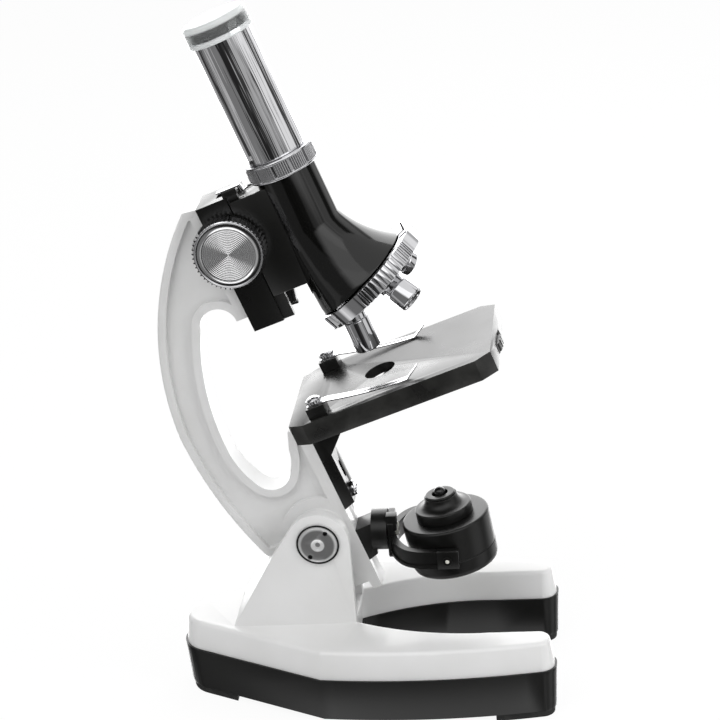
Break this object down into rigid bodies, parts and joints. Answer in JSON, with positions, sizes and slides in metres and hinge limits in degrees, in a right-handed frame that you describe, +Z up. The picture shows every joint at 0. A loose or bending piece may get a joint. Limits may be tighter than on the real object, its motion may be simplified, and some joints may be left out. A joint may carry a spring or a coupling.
{
  "type": "microscope",
  "caption": "Compound student microscope: horseshoe base, tilting cast arm, rack focus, triple turret, stage with clips and a tilting lamp.",
  "frame": {"origin": "on the table under the middle of the base", "axes": "+X towards the open end of the horseshoe base, +Z up"},
  "size_m": [0.1212, 0.066, 0.2245],
  "materials": {
    "white_plastic": "satin moulded white",
    "white_casting": "satin white enamel on a casting",
    "black_plastic": "moulded black",
    "black_gloss": "polished black",
    "black_satin": "satin black, lightly scuffed",
    "rubber": "matt",
    "steel": "turned",
    "spring_steel": "bright rolled",
    "chrome": "polished plating",
    "brass": "cut rack",
    "washer_nylon": "natural nylon",
    "glass": "clear",
    "mirror": "silvered",
    "frosted_cap": "frosted translucent"
  },
  "bodies": {
    "base": {"base_shell": "white_plastic", "base_plinth": "black_plastic", "foot_pads": "rubber", "base_screws": "steel", "pivot_bolt": "steel", "pivot_nut": "steel", "pivot_washers": "washer_nylon"},
    "limb": {"arm": "white_casting", "focus_housing": "black_plastic", "housing_screws": "steel", "stop_spring": "spring_steel", "stage": "black_satin", "stage_bracket": "black_plastic", "bracket_screw": "chrome", "clip_post_near": "black_plastic", "clip_post_far": "black_plastic", "clip_screw_near": "chrome", "clip_screw_far": "chrome", "wheel_pin": "steel", "lamp_stem": "black_plastic"},
    "head": {"slide_block": "black_plastic", "focus_rack": "brass", "head_tube": "black_gloss", "tube_collar": "chrome", "eyepiece_tube": "chrome", "eyepiece": "black_gloss", "eye_lens": "glass", "click_spring": "spring_steel", "turret_screw": "chrome"},
    "cap": {"eyepiece_cap": "frosted_cap"},
    "knob": {"focus_shaft": "steel", "knob_near": "chrome", "knob_far": "chrome", "knob_plate_near": "steel", "knob_plate_far": "steel"},
    "nosepiece": {"turret": "chrome", "objective_long": "chrome", "objective_mid": "chrome", "objective_short": "chrome", "objective_lenses": "glass"},
    "near_clip": {"clip_near": "spring_steel"},
    "far_clip": {"clip_far": "spring_steel"},
    "wheel": {"aperture_wheel": "black_plastic"},
    "fork": {"lamp_fork": "black_plastic", "fork_screw": "steel"},
    "lamp": {"lamp_body": "black_gloss", "lamp_lid": "black_plastic", "lamp_ring": "black_plastic", "lamp_socket": "black_plastic", "bulb": "glass", "mirror": "mirror", "lamp_pins": "steel", "lamp_cells": "steel"}
  },
  "joints": [
    {"name": "arm_tilt", "type": "hinge", "parent": "base", "child": "limb", "pos_m": [-0.0124, 0, 0.0546], "axis": [0, 1, 0], "range_deg": [-1.5, 19.4]},
    {"name": "focus_slide", "type": "slide", "parent": "limb", "child": "head", "axis": [-0.3322, 0, 0.9432], "range_m": [-0.007, 0.001]},
    {"name": "knob_spin", "type": "hinge", "parent": "limb", "child": "knob", "pos_m": [-0.03008, 0, 0.15238], "axis": [0, 1, 0], "range_deg": [-17, 113]},
    {"name": "turret_spin", "type": "hinge", "parent": "head", "child": "nosepiece", "pos_m": [-0.00715, 0, 0.1577], "axis": [-0.6743, 0, 0.7385], "continuous": true},
    {"name": "clip_near_swing", "type": "hinge", "parent": "limb", "child": "near_clip", "pos_m": [-0.00787, -0.0183, 0.10496], "axis": [-0.3322, 0, 0.9432], "range_deg": [-60, 20]},
    {"name": "clip_far_swing", "type": "hinge", "parent": "limb", "child": "far_clip", "pos_m": [-0.00787, 0.0183, 0.10496], "axis": [-0.3322, 0, 0.9432], "range_deg": [-20, 60]},
    {"name": "wheel_spin", "type": "hinge", "parent": "limb", "child": "wheel", "pos_m": [0.02938, 0, 0.10907], "axis": [-0.3322, 0, 0.9432], "continuous": true},
    {"name": "fork_swivel", "type": "hinge", "parent": "limb", "child": "fork", "pos_m": [0.009, 0, 0.0532], "axis": [1, 0, 0], "range_deg": [-15, 15]},
    {"name": "lamp_tilt", "type": "hinge", "parent": "fork", "child": "lamp", "pos_m": [0.0283, 0, 0.05], "axis": [0, 1, 0], "range_deg": [-50, 175]},
    {"name": "cap_lift", "type": "slide", "parent": "head", "child": "cap", "axis": [-0.3322, 0, 0.9432], "range_m": [0, 0.015]}
  ],
  "couplings": [
    {"joint": "knob_spin", "follows": "focus_slide", "rad_per_m": -277.78}
  ]
}
